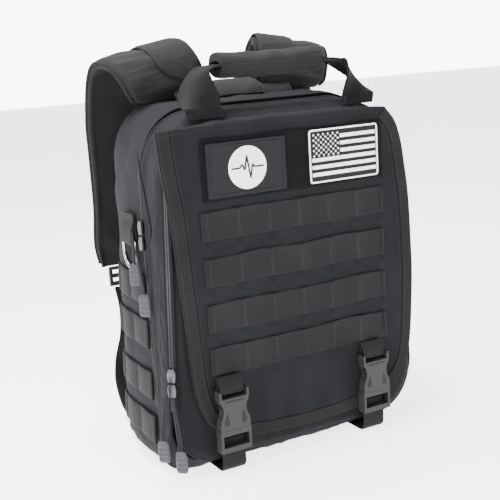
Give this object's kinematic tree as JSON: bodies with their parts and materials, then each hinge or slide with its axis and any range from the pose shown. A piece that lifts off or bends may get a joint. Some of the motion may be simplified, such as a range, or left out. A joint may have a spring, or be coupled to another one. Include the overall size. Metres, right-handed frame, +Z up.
{
  "type": "trauma backpack",
  "caption": "Soft first-aid backpack with a briefcase handle: zipped main and front compartments, buckled flap with load webbing, padded shoulder straps and side rings.",
  "frame": {"origin": "on the ground, at the middle of the bag's flat underside", "axes": "+X to the right seen from the front, +Y from the front flap towards the wearer's back, +Z up"},
  "size_m": [0.291, 0.2082, 0.3934],
  "materials": {
    "fabric": "coated plain-weave nylon, near black",
    "strap_fabric": "coated nylon over foam, a little paler",
    "mesh_pad": "spacer mesh over foam",
    "webbing": "woven nylon webbing",
    "edge_tape": "ribbed grosgrain binding",
    "loop_fabric": "brushed loop fabric",
    "patch_rubber": "soft moulded rubber, satin",
    "pull_rubber": "moulded grey rubber on a cord loop",
    "buckle_plastic": "moulded acetal, satin",
    "plated_zinc": "plated die casting",
    "bright_steel": "nickel-plated wire",
    "zip_teeth": "metal-look teeth on black tape",
    "zip_coil": "black coil on black tape",
    "stiffener": "polyethylene sheet"
  },
  "bodies": {
    "rear_bag": {"rear_compartment": "fabric", "frame_sheet": "stiffener", "back_pad": "mesh_pad", "strap_yoke": "strap_fabric", "side_webbing_left_1": "webbing", "side_webbing_left_2": "webbing", "side_webbing_left_3": "webbing", "side_webbing_left_4": "webbing", "side_webbing_right_1": "webbing", "side_webbing_right_2": "webbing", "side_webbing_right_3": "webbing", "side_webbing_right_4": "webbing", "ring_tab_left": "webbing", "ring_tab_right": "webbing", "lower_webbing_left": "webbing", "lower_webbing_right": "webbing"},
    "front_bag": {"front_compartment": "fabric", "main_zip": "zip_coil"},
    "handle": {"handle_webbing": "webbing", "handle_grip": "fabric"},
    "front_cover": {"front_cover": "fabric", "front_zip": "zip_teeth", "closure_webbing_left": "webbing", "closure_webbing_right": "webbing"},
    "flap": {"flap": "fabric", "flap_binding": "edge_tape", "loop_field": "loop_fabric", "patch_emblem": "patch_rubber", "patch_flag": "patch_rubber", "load_webbing_1": "webbing", "load_webbing_2": "webbing", "load_webbing_3": "webbing", "load_webbing_4": "webbing", "buckle_webbing_left": "webbing", "buckle_webbing_right": "webbing", "buckle_female_left": "buckle_plastic", "buckle_female_right": "buckle_plastic"},
    "shoulder_strap_left": {"shoulder_strap_left": "strap_fabric", "strap_overlay_left": "strap_fabric"},
    "adjuster_left": {"adjuster_left": "buckle_plastic"},
    "d_ring_left": {"d_ring_left": "bright_steel"},
    "buckle_male_left": {"buckle_male_left": "buckle_plastic"},
    "prong_left_a": {"prong_left_a": "buckle_plastic"},
    "prong_left_b": {"prong_left_b": "buckle_plastic"},
    "shoulder_strap_right": {"shoulder_strap_right": "strap_fabric", "strap_overlay_right": "strap_fabric"},
    "adjuster_right": {"adjuster_right": "buckle_plastic"},
    "d_ring_right": {"d_ring_right": "bright_steel"},
    "buckle_male_right": {"buckle_male_right": "buckle_plastic"},
    "prong_right_a": {"prong_right_a": "buckle_plastic"},
    "prong_right_b": {"prong_right_b": "buckle_plastic"},
    "main_slider_1": {"main_1_slider": "plated_zinc"},
    "main_pull_1": {"main_1_pull": "pull_rubber"},
    "main_slider_2": {"main_2_slider": "plated_zinc"},
    "main_pull_2": {"main_2_pull": "pull_rubber"},
    "front_slider_1": {"front_1_slider": "plated_zinc"},
    "front_pull_1": {"front_1_pull": "pull_rubber"},
    "front_slider_2": {"front_2_slider": "plated_zinc"},
    "front_pull_2": {"front_2_pull": "pull_rubber"}
  },
  "joints": [
    {"name": "front_bag_hinge", "type": "hinge", "parent": "rear_bag", "child": "front_bag", "pos_m": [0, -0.048, 0], "axis": [1, 0, 0], "range_deg": [0, 60]},
    {"name": "handle_hinge", "type": "hinge", "parent": "front_bag", "child": "handle", "pos_m": [0, -0.0735, 0.3215], "axis": [1, 0, 0], "range_deg": [-25, 45]},
    {"name": "cover_hinge", "type": "hinge", "parent": "front_bag", "child": "front_cover", "pos_m": [0, -0.06975, 0.01], "axis": [1, 0, 0], "range_deg": [0, 35]},
    {"name": "flap_hinge", "type": "hinge", "parent": "front_cover", "child": "flap", "pos_m": [0, -0.07765, 0.316], "axis": [-1, 0, 0], "range_deg": [0, 100]},
    {"name": "strap_left_hinge", "type": "hinge", "parent": "rear_bag", "child": "shoulder_strap_left", "pos_m": [-0.058, 0.03, 0.3375], "axis": [1, 0, 0], "range_deg": [0, 12], "deforming": ["lower_webbing_left"]},
    {"name": "adjuster_left_hinge", "type": "hinge", "parent": "shoulder_strap_left", "child": "adjuster_left", "pos_m": [-0.1, 0.11, 0.162], "axis": [1, 0, 0], "range_deg": [0, 30]},
    {"name": "d_ring_left_hinge", "type": "hinge", "parent": "rear_bag", "child": "d_ring_left", "pos_m": [-0.13326, -0.003, 0.212], "axis": [0, 1, 0], "range_deg": [0, 95]},
    {"name": "buckle_left_adjust", "type": "slide", "parent": "front_cover", "child": "buckle_male_left", "axis": [0, 0, 1], "range_m": [-0.01, 0]},
    {"name": "prong_left_a_flex", "type": "hinge", "parent": "buckle_male_left", "child": "prong_left_a", "pos_m": [-0.092, -0.08975, 0.0448], "axis": [0, 1, 0], "range_deg": [0, 5], "stiffness_Nm_per_rad": 0.02},
    {"name": "prong_left_b_flex", "type": "hinge", "parent": "buckle_male_left", "child": "prong_left_b", "pos_m": [-0.072, -0.08975, 0.0448], "axis": [0, -1, 0], "range_deg": [0, 5], "stiffness_Nm_per_rad": 0.02},
    {"name": "strap_right_hinge", "type": "hinge", "parent": "rear_bag", "child": "shoulder_strap_right", "pos_m": [0.058, 0.03, 0.3375], "axis": [1, 0, 0], "range_deg": [0, 12], "deforming": ["lower_webbing_right"]},
    {"name": "adjuster_right_hinge", "type": "hinge", "parent": "shoulder_strap_right", "child": "adjuster_right", "pos_m": [0.1, 0.11, 0.162], "axis": [1, 0, 0], "range_deg": [0, 30]},
    {"name": "d_ring_right_hinge", "type": "hinge", "parent": "rear_bag", "child": "d_ring_right", "pos_m": [0.13326, -0.003, 0.212], "axis": [0, -1, 0], "range_deg": [0, 95]},
    {"name": "buckle_right_adjust", "type": "slide", "parent": "front_cover", "child": "buckle_male_right", "axis": [0, 0, 1], "range_m": [-0.01, 0]},
    {"name": "prong_right_a_flex", "type": "hinge", "parent": "buckle_male_right", "child": "prong_right_a", "pos_m": [0.065, -0.08975, 0.0448], "axis": [0, 1, 0], "range_deg": [0, 5], "stiffness_Nm_per_rad": 0.02},
    {"name": "prong_right_b_flex", "type": "hinge", "parent": "buckle_male_right", "child": "prong_right_b", "pos_m": [0.085, -0.08975, 0.0448], "axis": [0, -1, 0], "range_deg": [0, 5], "stiffness_Nm_per_rad": 0.02},
    {"name": "main_slider_1_run", "type": "slide", "parent": "front_bag", "child": "main_slider_1", "axis": [0.0392, 0.0731, 0.9965], "range_m": [0, 0.035]},
    {"name": "main_slider_2_run", "type": "slide", "parent": "front_bag", "child": "main_slider_2", "axis": [0.0392, 0.0731, 0.9965], "range_m": [-0.13, 0]},
    {"name": "front_slider_1_run", "type": "slide", "parent": "front_cover", "child": "front_slider_1", "axis": [0.0393, 0, 0.9992], "range_m": [0, 0.12]},
    {"name": "front_slider_2_run", "type": "slide", "parent": "front_cover", "child": "front_slider_2", "axis": [0.0393, 0, 0.9992], "range_m": [-0.012, 0]},
    {"name": "main_pull_1_swing", "type": "hinge", "parent": "main_slider_1", "child": "main_pull_1", "pos_m": [-0.13973, -0.02867, 0.225], "axis": [0, 1, 0], "range_deg": [0, 150]},
    {"name": "main_pull_2_swing", "type": "hinge", "parent": "main_slider_2", "child": "main_pull_2", "pos_m": [-0.14028, -0.03489, 0.211], "axis": [0, 1, 0], "range_deg": [0, 150]},
    {"name": "front_pull_1_swing", "type": "hinge", "parent": "front_slider_1", "child": "front_pull_1", "pos_m": [-0.13997, -0.07876, 0.098], "axis": [-0.7071, 0.7071, 0], "range_deg": [0, 140]},
    {"name": "front_pull_2_swing", "type": "hinge", "parent": "front_slider_2", "child": "front_pull_2", "pos_m": [-0.13684, -0.08244, 0.084], "axis": [-0.7071, 0.7071, 0], "range_deg": [0, 140]}
  ],
  "couplings": [
    {"joint": "prong_left_b_flex", "follows": "prong_left_a_flex", "ratio": 1},
    {"joint": "prong_right_b_flex", "follows": "prong_right_a_flex", "ratio": 1}
  ]
}
